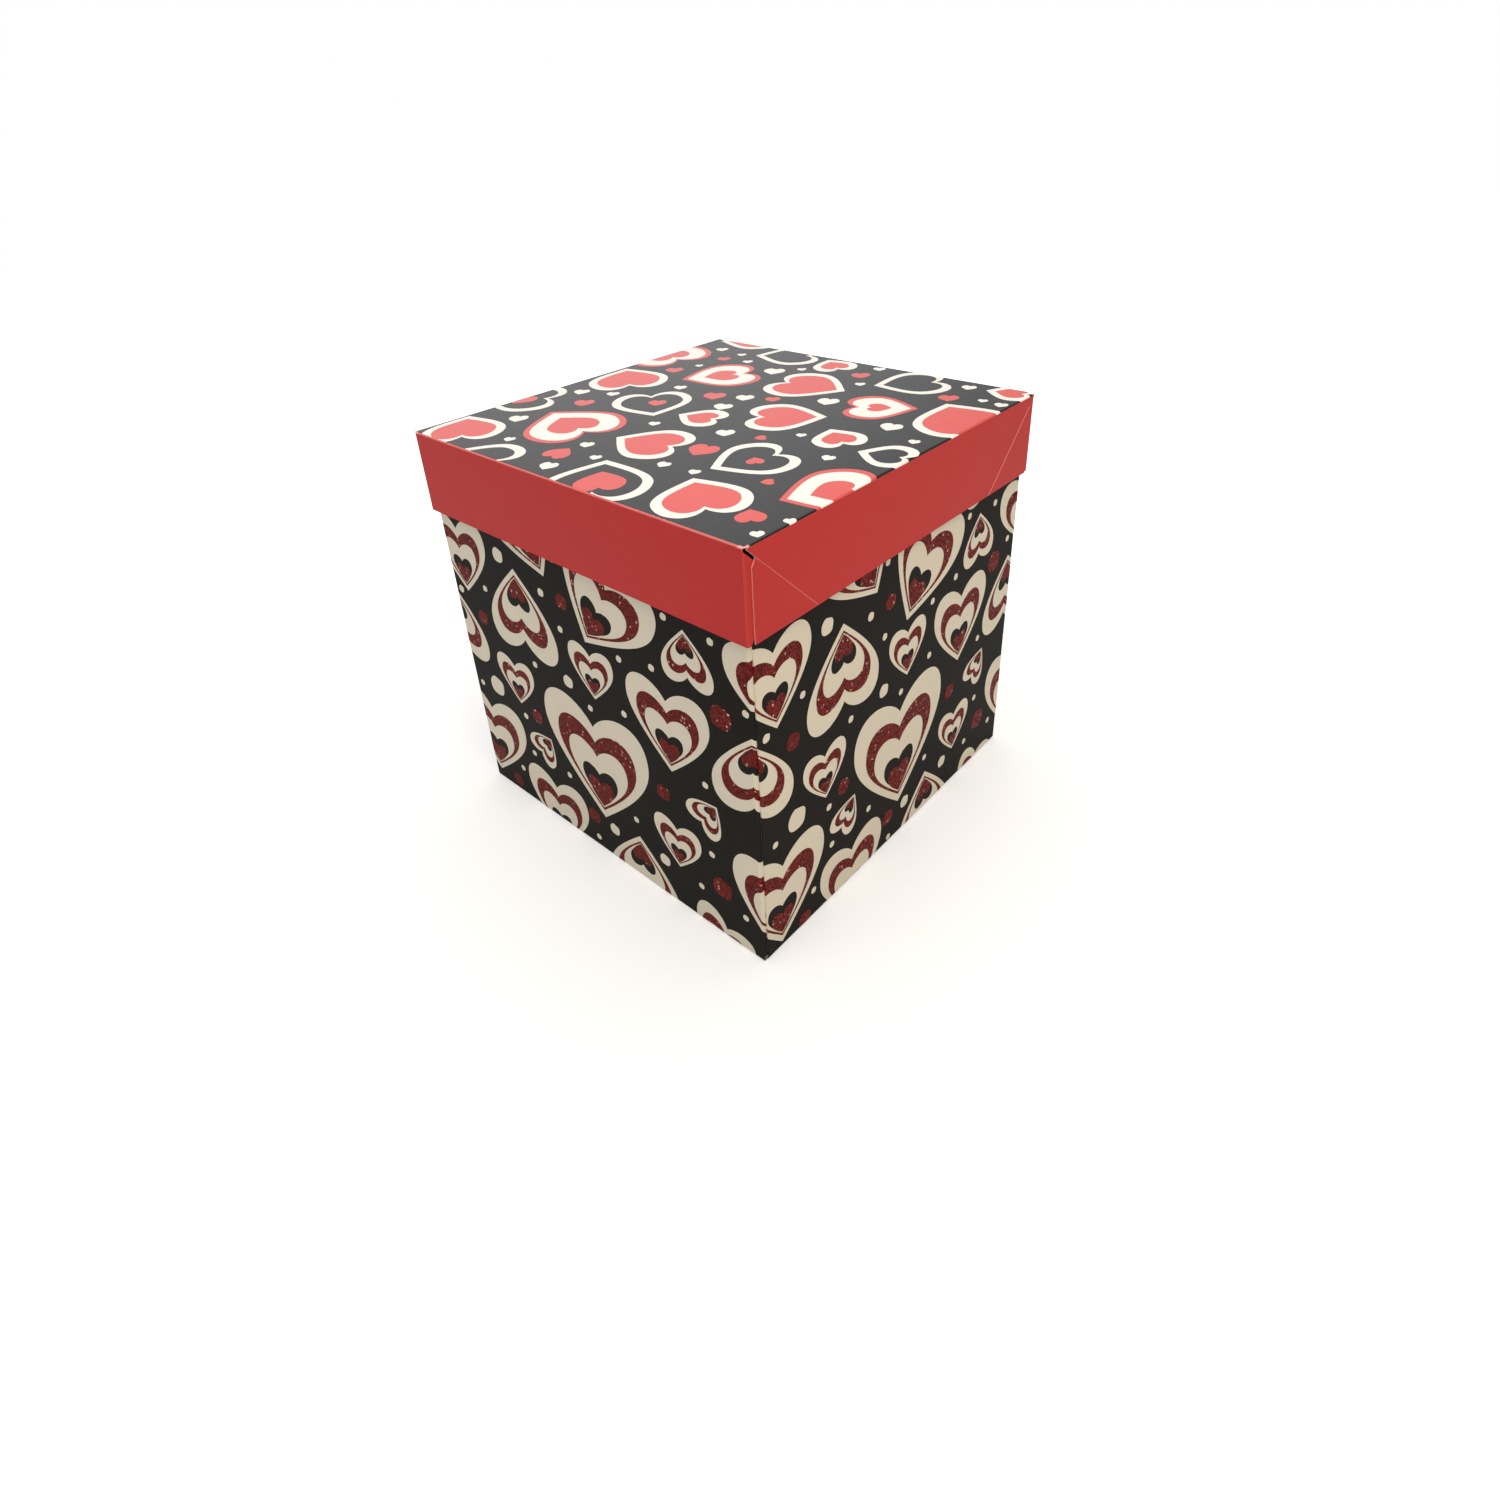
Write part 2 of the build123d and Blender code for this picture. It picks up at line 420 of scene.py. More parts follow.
@dataclass(frozen=True)
class PrintedBoard:
    """Paperboard with a printed and varnished outside and a bare inside.

    Attributes:
        name: name of the material.
        ink: colour of the print.
        worn_and_highlight: colour of the print where a fold or a score strains the ink, also used for
            painted highlights on the lid.
        level_wear_and_highlight: how much of it shows on the fold at a panel's end, from rubbing and, on
            the lid's top fold, also as a painted highlight.
        upright_wear: how much of it shows on an upright fold.
        corner_wear: how much paper shows where two folds meet.
        roughness: how matt the varnish is.
        specular: how much the varnish mirrors.
        edge: colour of a cut edge.
        inked_edge: depth to which ink covers a cut edge.
        bare: the unprinted board.
    """

    name: str
    ink: RGB
    worn_and_highlight: RGB
    level_wear_and_highlight: float
    upright_wear: float
    corner_wear: float
    roughness: float
    specular: float
    edge: RGB
    inked_edge: float = 0.14 * MM
    bare: BareBoard = field(default_factory=BareBoard)

    def print_colour(self, shader: Shader, places: Places, wear_and_highlight: Wire) -> Wire:
        """Even print with a faint cloudiness, paler in places from rubbing and from painted highlights."""
        ink = shader.mix(shader.noise(18 * MM), self.ink, shade(self.ink, 0.93))
        return shader.mix(wear_and_highlight, ink, self.worn_and_highlight)

    def material(self, panels: Panels, skin: Skin) -> bpy.types.Material:
        """Board of the panels that lie on one skin.

        Args:
            panels: which panels they are.
            skin: the outside that they share.

        Returns:
            The finished material.
        """
        shader = Shader.named(f"{self.name}_{panels.value}")
        places = skin.measure(shader)
        grit = shader.noise(0.8 * MM, 5.0)
        # Paler band round the fold at a panel's end: rubbed ink, and on the lid's top fold also a painted
        # highlight.
        level = places.level_fold.rise(0.02 * MM, 0.4 * MM) * self.level_wear_and_highlight
        upright = places.upright_fold.rise(0.05 * MM, 0.5 * MM) * self.upright_wear
        stretched_and_highlit = level.at_least(upright) * (0.7 + grit * 0.6)
        # Paler line along the scores: strained ink with a painted highlight, painted stronger towards the
        # back right where light catches the scores.
        scored_and_highlit = places.depth.rise(0.0, 0.03 * MM) * (0.45 + places.back_right.rise(0.0, 0.12) * 0.55)
        outside = self.print_colour(shader, places, stretched_and_highlit.at_least(scored_and_highlit).at_most(1.0))
        rubbed = places.corner.rise(-2.5 * MM, -1.0 * MM) * places.level_fold.rise(0.05 * MM, 0.3 * MM)
        unprinted = places.depth.rise(self.inked_edge, self.inked_edge + 0.02 * MM)
        cut = unprinted.at_least(rubbed * self.corner_wear)
        inner = places.depth.rise(BOARD - 0.04 * MM, BOARD - 0.02 * MM)
        paper = shader.mix(inner, self.edge, self.bare.fibres(shader))
        rough = self.roughness + grit * 0.02 + cut * (self.bare.roughness - self.roughness)
        return shader.finish(
            base_color=shader.mix(cut, outside, paper),
            roughness=rough,
            specular_ior_level=self.specular,
            normal=shader.bump(shader.noise(30 * MM, 2.0), 0.02 * MM),
        )


@dataclass(frozen=True)
class LidBoard(PrintedBoard):
    """Printed board of the lid, whose black top and red walls meet a little off the folds.

    Attributes:
        other: the colour on the other side of the border.
        border: how far the border lies below the top, on the front and left and on the back and right.
    """

    other: RGB = (0.0, 0.0, 0.0)
    border: tuple[float, float] = (0.0, 0.0)

    def print_colour(self, shader: Shader, places: Places, wear_and_highlight: Wire) -> Wire:
        """Red walls with a painted highlight along the crease at the back right, and the black top above
        their border.
        """
        crease = 1 - abs(places.front - places.end).rise(0.2 * MM, 0.8 * MM)
        # Painted highlight along the gusset crease at the back right, where light catches the crease.
        painted_crease_highlight = crease * places.back_right.rise(0.05, 0.14) * (1 - places.end.rise(-4 * MM, -3 * MM))
        red = super().print_colour(shader, places, wear_and_highlight.at_least(painted_crease_highlight * 0.8))
        front_left, back_right = (FOLD_RADIUS - drop for drop in self.border)
        height = front_left + places.back_right.rise(0.0, 0.3 * MM) * (back_right - front_left)
        return shader.mix((places.end - height).rise(-0.01 * MM, 0.01 * MM), red, self.other)


@dataclass(frozen=True)
class BottomBoard:
    """Board of the bottom flaps: bare, but for the walls' print that runs on past the fold.

    Attributes:
        name: name of the material.
        ink: colour of the print.
        bleed: how far the print runs past the start of the fold.
        bare: the unprinted board.
    """

    name: str
    ink: RGB
    bleed: float = 5 * MM
    bare: BareBoard = field(default_factory=BareBoard)

    def material(self, panels: Panels, skin: Skin) -> bpy.types.Material:
        """Board of the flaps that hang on some walls.

        Args:
            panels: which walls they are.
            skin: the outside of those walls.

        Returns:
            The finished material.
        """
        shader = Shader.named(f"{self.name}_{panels.value}")
        places = skin.measure(shader)
        fold = places.side if panels is Panels.BASE_SIDES else places.front
        ragged = fold + shader.noise(4 * MM) * (0.2 * MM)
        outside = 1 - places.depth.rise(0.5 * MM, 0.55 * MM)
        printed = outside * ragged.rise(-self.bleed, -self.bleed + 0.1 * MM)
        return shader.finish(
            base_color=shader.mix(printed, self.bare.fibres(shader), self.ink),
            roughness=self.bare.roughness,
            specular_ior_level=0.2,
            normal=shader.bump(shader.noise(0.35 * MM, 4.0), 0.02 * MM),
        )


@dataclass(frozen=True)
class InkFilm:
    """A flat printing ink.

    Attributes:
        name: name of the material.
        ink: its colour.
        roughness: how matt it is.
        specular: how much it mirrors.
    """

    name: str
    ink: RGB
    roughness: float
    specular: float

    def material(self) -> bpy.types.Material:
        """Ink with faint clouds and pinholes."""
        shader = Shader.named(self.name)
        cloud = shader.noise(12 * MM)
        pinhole = shader.noise(0.6 * MM, 4.0).rise(0.70, 0.78)
        tone = shader.mix(cloud, self.ink, shade(self.ink, 0.95))
        return shader.finish(
            base_color=shader.mix(pinhole * 0.25, tone, shade(self.ink, 0.8)),
            roughness=self.roughness + shader.noise(0.8 * MM, 5.0) * 0.02,
            specular_ior_level=self.specular,
            normal=shader.bump(shader.noise(30 * MM, 2.0), 0.02 * MM),
        )


@dataclass(frozen=True)
class Glitter:
    """Varnish full of red flakes that lie at all angles.

    Attributes:
        name: name of the material.
        dark: colour of the dullest flakes.
        bright: colour of the brightest red flakes.
        spark: colour of the few pale flakes, in part a painted glint; their metal also mirrors the
            surround.
        sparks: share of pale flakes.
        flake: size of a red flake.
        pale_glint_flake: size of a pale flake.
        tilt: how far flakes lean out of the surface.
    """

    name: str
    dark: RGB = (0.05, 0.005, 0.004)
    bright: RGB = (0.38, 0.042, 0.034)
    spark: RGB = (1.0, 0.56, 0.5)
    sparks: float = 0.03
    flake: float = 0.42 * MM
    pale_glint_flake: float = 0.8 * MM
    tilt: float = 0.8

    def material(self) -> bpy.types.Material:
        """One random colour and one random lean for every flake."""
        shader = Shader.named(self.name)
        chance, share = self.flakes(shader, self.flake)
        _, clear = self.flakes(shader, self.pale_glint_flake)
        red = shader.mix(share * share, self.dark, self.bright)
        spark = clear.sibling("Green").rise(1 - self.sparks - 0.005, 1 - self.sparks)
        lean = shader.vector("SUBTRACT", {0: chance, 1: (0.5, 0.5, 0.5)})
        lean = shader.vector("SCALE", {0: lean, "Scale": self.tilt})
        upright = shader.add("ShaderNodeNewGeometry", output="Normal")
        turned = shader.vector("ADD", {0: upright, 1: lean})
        # The pale flakes are in part a painted glint: their colour stands in for sparkle, while their metal
        # mirrors the surround.
        return shader.finish(
            base_color=shader.mix(spark * clear, red, self.spark),
            metallic=spark * 0.5,
            roughness=0.35 - spark * 0.15,
            specular_ior_level=0.04,
            normal=shader.vector("NORMALIZE", {0: turned}),
        )

    @staticmethod
    def flakes(shader: Shader, size: float) -> tuple[Wire, Wire]:
        """Random colour of every flake of one size, whole and as its red part."""
        sockets = {"Vector": shader.place, "Scale": 1 / size}
        chance = shader.add("ShaderNodeTexVoronoi", {}, sockets, "Color")
        return chance, shader.add("ShaderNodeSeparateColor", {}, {0: chance})


@dataclass(frozen=True)
class Spot:
    """Where a motif stands on a flat sheet, in millimetres.

    Attributes:
        x: middle of the motif, to the right.
        y: middle of the motif, upwards.
        width: size across.
        turn: degrees anticlockwise, where 0 has a heart's tip down.
    """

    x: float
    y: float
    width: float
    turn: float = 0.0

    def shifted(self, x: float) -> "Spot":
        """The same motif, moved to the right."""
        return Spot(self.x + x, self.y, self.width, self.turn)

    def frame(self, height: float) -> Matrix:
        """Matrix from an outline of unit width and height, standing on its tip, to the sheet."""
        size = Matrix.Diagonal((self.width, height * self.width, 1.0, 1.0))
        turn = Matrix.Rotation(math.radians(self.turn), 4, "Z")
        middle = Matrix.Translation((0.0, -0.5, 0.0))
        return Matrix.Translation((self.x, self.y, 0.0)) @ turn @ size @ middle


@dataclass(frozen=True)
class Layer:
    """One of several hearts that stand one inside another.

    Attributes:
        scale: its size for the outer heart's.
        lift: how far its tip stands above the outer heart's tip, for the outer heart's height.
    """

    scale: float
    lift: float

    def frame(self) -> Matrix:
        """Matrix from a unit outline to the outer heart's unit outline."""
        size = Matrix.Diagonal((self.scale, self.scale, 1.0, 1.0))
        return Matrix.Translation((0.0, self.lift, 0.0)) @ size


@dataclass(frozen=True)
class HeartShape:
    """Right half of a heart of unit width and height that stands on its tip.

    Attributes:
        tip: handle at the tip.
        waist: height at which the heart is widest.
        below: height of the handle under that point.
        above: height of the handle over that point.
        cleft: height of the cleft.
        lobe: handle at the cleft.
    """

    tip: tuple[float, float]
    waist: float
    below: float
    above: float
    cleft: float
    lobe: tuple[float, float]


@dataclass
class Stencils:
    """Outlines that every motif is copied from, each drawn once.

    Attributes:
        slim_shape: heart of the base, with straight sides.
        round_shape: heart of the lid, with full sides.
    """

    slim_shape: HeartShape = HeartShape((0.275, 0.27), 0.74, 0.52, 1.10, 0.83, (0.14, 1.05))
    round_shape: HeartShape = HeartShape((0.25, 0.2), 0.60, 0.38, 0.93, 0.83, (0.19, 1.13))
    slim_heart: bpy.types.Object = field(init=False)
    round_heart: bpy.types.Object = field(init=False)
    dot: bpy.types.Object = field(init=False)

    def draw(self) -> None:
        """Draws the outlines."""
        self.slim_heart = self.heart("slim_heart", self.slim_shape)
        self.round_heart = self.heart("round_heart", self.round_shape)
        self.dot = self.circle("dot", 0.5)
        for point in self.dot.data.splines[0].bezier_points:
            ends = (point.handle_left.copy(), point.co.copy(), point.handle_right.copy())
            self.pull(point, *(end + Vector((0.0, 0.5, 0.0)) for end in ends))

    def heart(self, name: str, shape: HeartShape) -> bpy.types.Object:
        """Pulls a Bezier circle into a heart.

        Args:
            name: name of the outline.
            shape: the heart's right half.

        Returns:
            The outline.
        """
        outline = self.circle(name, 1.0)
        left, cleft, right, tip = outline.data.splines[0].bezier_points
        heights = (shape.below, shape.waist, shape.above)
        below, waist, above = (Vector((0.5, height, 0.0)) for height in heights)
        side, lobe = Vector((*shape.tip, 0.0)), Vector((*shape.lobe, 0.0))
        mirror = Vector((-1.0, 1.0, 1.0))
        self.pull(left, below * mirror, waist * mirror, above * mirror)
        self.pull(cleft, lobe * mirror, Vector((0.0, shape.cleft, 0.0)), lobe)
        self.pull(right, above, waist, below)
        self.pull(tip, side, Vector(), side * mirror)
        return outline

    @staticmethod
    def pull(point: bpy.types.BezierSplinePoint, before: Vector, place: Vector, after: Vector) -> None:
        """Moves a point of an outline and its two handles."""
        point.handle_left_type = point.handle_right_type = "FREE"
        point.co, point.handle_left, point.handle_right = place, before, after

    @staticmethod
    def circle(name: str, radius: float) -> bpy.types.Object:
        """Adds a Bezier circle to pull into shape."""
        bpy.ops.object.select_all(action="DESELECT")
        bpy.ops.curve.primitive_bezier_circle_add(radius=radius)
        bpy.context.object.name = name
        return bpy.context.object

    def put_away(self) -> None:
        """Removes the outlines once every sheet is cut."""
        for outline in (self.slim_heart, self.round_heart, self.dot):
            bpy.data.curves.remove(outline.data)


@dataclass
class FlatSheet:
    """One ink of a print, drawn flat in millimetres.

    Attributes:
        name: name of the sheet.
        step: width of a motif for each straight step in a quarter of its outline.
        fewest: least number of those steps.
        most: greatest number of those steps.
    """

    name: str
    step: float = 0.9
    fewest: int = 6
    most: int = 28
    curve: bpy.types.Curve = field(init=False)

    def __post_init__(self) -> None:
        """Starts an empty flat curve, which fills between outlines that lie one inside another."""
        self.curve = bpy.data.curves.new(self.name, "CURVE")
        self.curve.dimensions = "2D"
        self.curve.fill_mode = "BOTH"

    def stamp(self, outline: bpy.types.Object, place: Matrix) -> None:
        """Copies an outline onto the sheet.

        Args:
            outline: the drawn outline.
            place: matrix from the outline to the sheet.
        """
        source = outline.data.splines[0].bezier_points
        copy = self.curve.splines.new("BEZIER")
        copy.bezier_points.add(len(source) - 1)
        for new, old in zip(copy.bezier_points, source):
            new.handle_left_type = new.handle_right_type = "FREE"
            new.co = place @ old.co
            new.handle_left = place @ old.handle_left
            new.handle_right = place @ old.handle_right
        copy.use_cyclic_u = True
        width = (place @ Vector((1.0, 0.0, 0.0)) - place @ Vector((0.0, 0.0, 0.0))).length
        copy.resolution_u = max(self.fewest, min(self.most, round(width / self.step)))

    def mesh(self) -> bpy.types.Object:
        """Fills the outlines and makes the sheet a mesh.

        Returns:
            The flat sheet, with its faces up.
        """
        sheet = bpy.data.objects.new(self.name, self.curve)
        bpy.context.scene.collection.objects.link(sheet)
        only(sheet)
        bpy.ops.object.convert(target="MESH")
        sheet = bpy.context.object
        bpy.ops.object.mode_set(mode="EDIT")
        bpy.ops.mesh.select_all(action="SELECT")
        bpy.ops.mesh.remove_doubles(threshold=WELD)
        bpy.ops.mesh.normals_make_consistent(inside=False)
        bpy.ops.object.mode_set(mode="OBJECT")
        if sheet.data.polygons[0].normal.z < 0:
            sheet.data.flip_normals()
        return sheet


def only(piece: bpy.types.Object) -> None:
    """Selects one object and makes it active."""
    bpy.ops.object.select_all(action="DESELECT")
    piece.select_set(True)
    bpy.context.view_layer.objects.active = piece


def slice_sheet(sheet: bpy.types.Object, axis: int, place: float, clear: int = 0) -> None:
    """Cuts a flat sheet along a line.

    Args:
        sheet: the sheet.
        axis: 0 for a line at one x, 1 for a line at one y.
        place: where the line is.
        clear: 1 to drop what lies above it, -1 to drop what lies below it, 0 to keep both.
    """
    only(sheet)
    bpy.ops.object.mode_set(mode="EDIT")
    bpy.ops.mesh.select_all(action="SELECT")
    spot, normal = [0.0, 0.0, 0.0], [0.0, 0.0, 0.0]
    spot[axis], normal[axis] = place, 1.0
    bpy.ops.mesh.bisect(
        plane_co=spot, plane_no=normal, clear_outer=clear > 0, clear_inner=clear < 0, threshold=CUT_WELD
    )
    bpy.ops.object.mode_set(mode="OBJECT")


@dataclass(frozen=True)
class Rim:
    """One edge of a panel's flat face, in millimetres.

    Attributes:
        flat: where the flat face ends.
        folded: how far print goes on round the fold from there, or 0 at a cut edge.
        radius: radius of the fold.
    """

    flat: float
    folded: float = 0.0
    radius: float = FOLD_RADIUS / MM

    def lines(self, side: int) -> Iterable[float]:
        """Lines that the sheet is cut along, so that it can bend between them."""
        arc = min(self.folded, self.radius * math.pi / 2)
        steps = math.ceil(arc / (FOLD_STEP * self.radius))
        last = 1 if self.folded > arc else 0
        return (self.flat + side * arc * step / steps for step in range(steps + last))

    def end(self, side: int) -> float:
        """Where the print ends, measured on the flat sheet."""
        return self.flat + side * self.folded

    def bend(self, place: float, side: int) -> tuple[float, float]:
        """Lays one coordinate of the flat sheet round the fold.

        Args:
            place: the coordinate.
            side: 1 for an upper edge, -1 for a lower edge.

        Returns:
            The coordinate on the bent board, and how far it lies behind the panel's face.
        """
        past = side * (place - self.flat)
        if past <= 0:
            return place, 0.0
        angle = min(past / self.radius, math.pi / 2)
        along = self.flat + side * self.radius * math.sin(angle)
        return along, self.radius * (1 - math.cos(angle)) + past - angle * self.radius


@dataclass(frozen=True)
class Face:
    """Outer face of a panel, with its edges in millimetres on the flat sheet.

    Attributes:
        origin: point of the face that the sheet's origin lies on.
        across: direction of the sheet's x.
        along: direction of the sheet's y.
        left: lower edge in x.
        right: upper edge in x.
        bottom: lower edge in y.
        top: upper edge in y.
    """

    origin: Vector
    across: Vector
    along: Vector
    left: Rim
    right: Rim
    bottom: Rim
    top: Rim

    def cut(self, sheet: bpy.types.Object) -> None:
        """Trims a flat sheet to the face, and slices it where it will bend."""
        for axis, low, high in ((0, self.left, self.right), (1, self.bottom, self.top)):
            slice_sheet(sheet, axis, low.end(-1), -1)
            slice_sheet(sheet, axis, high.end(1), 1)
            for line in (*low.lines(-1), *high.lines(1)):
                slice_sheet(sheet, axis, line)

    def lay(self, sheet: bpy.types.Object, soak: float) -> None:
        """Moves a flat sheet onto the face and round its folds.

        Args:
            sheet: the trimmed sheet.
            soak: how far it lies in the board, in metres.
        """
        outward = self.across.cross(self.along)
        for vertex in sheet.data.vertices:
            x, behind_left = self.left.bend(vertex.co.x, -1)
            x, behind_right = self.right.bend(x, 1)
            y, behind_bottom = self.bottom.bend(vertex.co.y, -1)
            y, behind_top = self.top.bend(y, 1)
            behind = MM * max(behind_left, behind_right, behind_bottom, behind_top) + soak
            vertex.co = self.origin + self.across * (MM * x) + self.along * (MM * y) - outward * behind


@dataclass
class Film:
    """A layer of ink on a panel.

    Attributes:
        name: name of the piece.
        ink: which ink it is.
        body: what it rides on.
        thickness: how far it stands out of the board.
        soak: how far it lies in the board.
    """

    name: str
    ink: Ink
    body: Body
    thickness: float
    soak: float = 0.01 * MM

    def build(self, sheet: bpy.types.Object, face: Face, drift: Matrix) -> bpy.types.Object:
        """Copies a flat sheet onto a panel and gives it thickness.

        Args:
            sheet: the flat sheet, which stays as it is.
            face: the panel's outer face.
            drift: how the print is moved on the sheet for this panel.

        Returns:
            The finished piece.
        """
        only(sheet)
        bpy.ops.object.duplicate(linked=False)
        piece = bpy.context.object
        piece.name = self.name
        piece.data.name = self.name
        piece.data.transform(drift)
        face.cut(piece)
        face.lay(piece, self.soak)
        only(piece)
        solid = piece.modifiers.new("ink thickness", "SOLIDIFY")
        solid.thickness = self.thickness + self.soak
        solid.offset = 1.0
        bpy.ops.object.modifier_apply(modifier=solid.name)
        bpy.ops.object.shade_smooth_by_angle(angle=math.radians(30))
        return piece

    def dress(self, piece: bpy.types.Object, material: bpy.types.Material) -> None:
        """Gives the piece its ink and ties it to its body."""
        piece.data.materials.clear()
        piece.data.materials.append(material)
        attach(piece, self.body.value)
        log.info("%s: %d faces", piece.name, len(piece.data.polygons))


# One repeat of the base's print, measured from the middle of a wall's lower edge

NESTED_HEARTS = (
    Spot(-2, 57, 72.4),
    Spot(49.5, 102, 48),
    Spot(3, 110, 29.8),
    Spot(-45, 124, 50, 180),
    Spot(63.3, 142.5, 28.1, 182),
    Spot(-59, 79.5, 29.5),
    Spot(-90.5, 32.5, 57, -4),
    Spot(-40.5, 6.5, 48.5),
    Spot(22.5, 4, 50, 180),
    Spot(72.8, -5.8, 36, -18),
    Spot(-44, 46, 21.5, 141),
    Spot(69, 66.9, 21.3, 144),
    Spot(49, 38, 29.3),
    Spot(14.7, 148.7, 57.5, -30),
    Spot(-32.3, 170.5, 50, 28),
    Spot(-88, 141.3, 44.8),
    Spot(95.5, 100, 44.5, 180),
    Spot(65, 180.5, 40, 190),
    Spot(-77, 184, 33, -14),
    Spot(11, 195, 27, 170),
)

CREAM_DOTS = (
    Spot(-55.5, 150.5, 7.5),
    Spot(-72, 127.5, 3.3),
    Spot(-26, 141, 4.1),
    Spot(-15.5, 126, 3.4),
    Spot(23, 126, 3.3),
    Spot(52.8, 157.3, 3.3),
    Spot(77, 155.5, 3.3),
    Spot(43, 130, 3.4),
    Spot(93, 130.5, 3.3),
    Spot(-94.4, 120, 4.1),
    Spot(-40.5, 97, 3.4),
    Spot(-15.7, 98, 6.6),
    Spot(22, 97.3, 3.4),
    Spot(-1.7, 89.5, 3.3),
    Spot(69, 83.5, 3.3),
    Spot(-78.8, 68.3, 11.1),
    Spot(-93, 64.3, 3.3),
    Spot(-57, 59.2, 3.5),
    Spot(-55.5, 36.2, 3.3),
    Spot(-27, 37, 3.4),
    Spot(21.5, 36.5, 3.3),
    Spot(70, 45.7, 3.3),
    Spot(39, 22.5, 6.5),
    Spot(4, 19.8, 6.6),
    Spot(62, 21.5, 3.3),
    Spot(88, 20.2, 3.3),
    Spot(-69.5, 19, 3.4),
    Spot(-10, 6.5, 3.4),
    Spot(-14, 161.3, 3.3),
    Spot(-66, 165.5, 3.4),
    Spot(37, 187, 6.6),
    Spot(88, 183, 3.4),
    Spot(-52, 195, 3.3),
    Spot(-9.5, 189, 3.3),
)

GLITTER_DOTS = (
    Spot(-11.5, 141.5, 7.5),
    Spot(-79, 109, 8),
    Spot(80, 122.7, 11),
    Spot(-46.5, 64, 8),
    Spot(42.5, 65, 8),
    Spot(-11, 20, 8.5),
    Spot(75, 29, 11),
    Spot(-76.5, 7.3, 8),
    Spot(94, 171, 8),
    Spot(31, 197, 8),
)

# Hearts that stand instead at the right end of the front and right walls

END_HEARTS = (
    Spot(107.2, 143, 45, 12),
    Spot(95.5, 100, 44.5, 180),
    Spot(108.3, 33.3, 54, -3),
)


@dataclass(frozen=True)
class Drift:
    """How the print lies on one wall, because board and print are never quite true to each other.

    Attributes:
        across: shift to the right, in millimetres.
        up: shift upwards, in millimetres.
        stretch: size across for the drawn size.
        slant: how far the print leans to the right, for its height.
        slope: how far it rises to the right, for its width.
    """

    across: float
    up: float
    stretch: float = 1.0
    slant: float = 0.0
    slope: float = 0.0

    def matrix(self) -> Matrix:
        """Matrix from the drawn print to the wall."""
        shift = Matrix.Translation((self.across, self.up, 0.0))
        skew = Matrix.Identity(4)
        skew[0][0], skew[0][1], skew[1][0] = self.stretch, self.slant, self.slope
        return shift @ skew


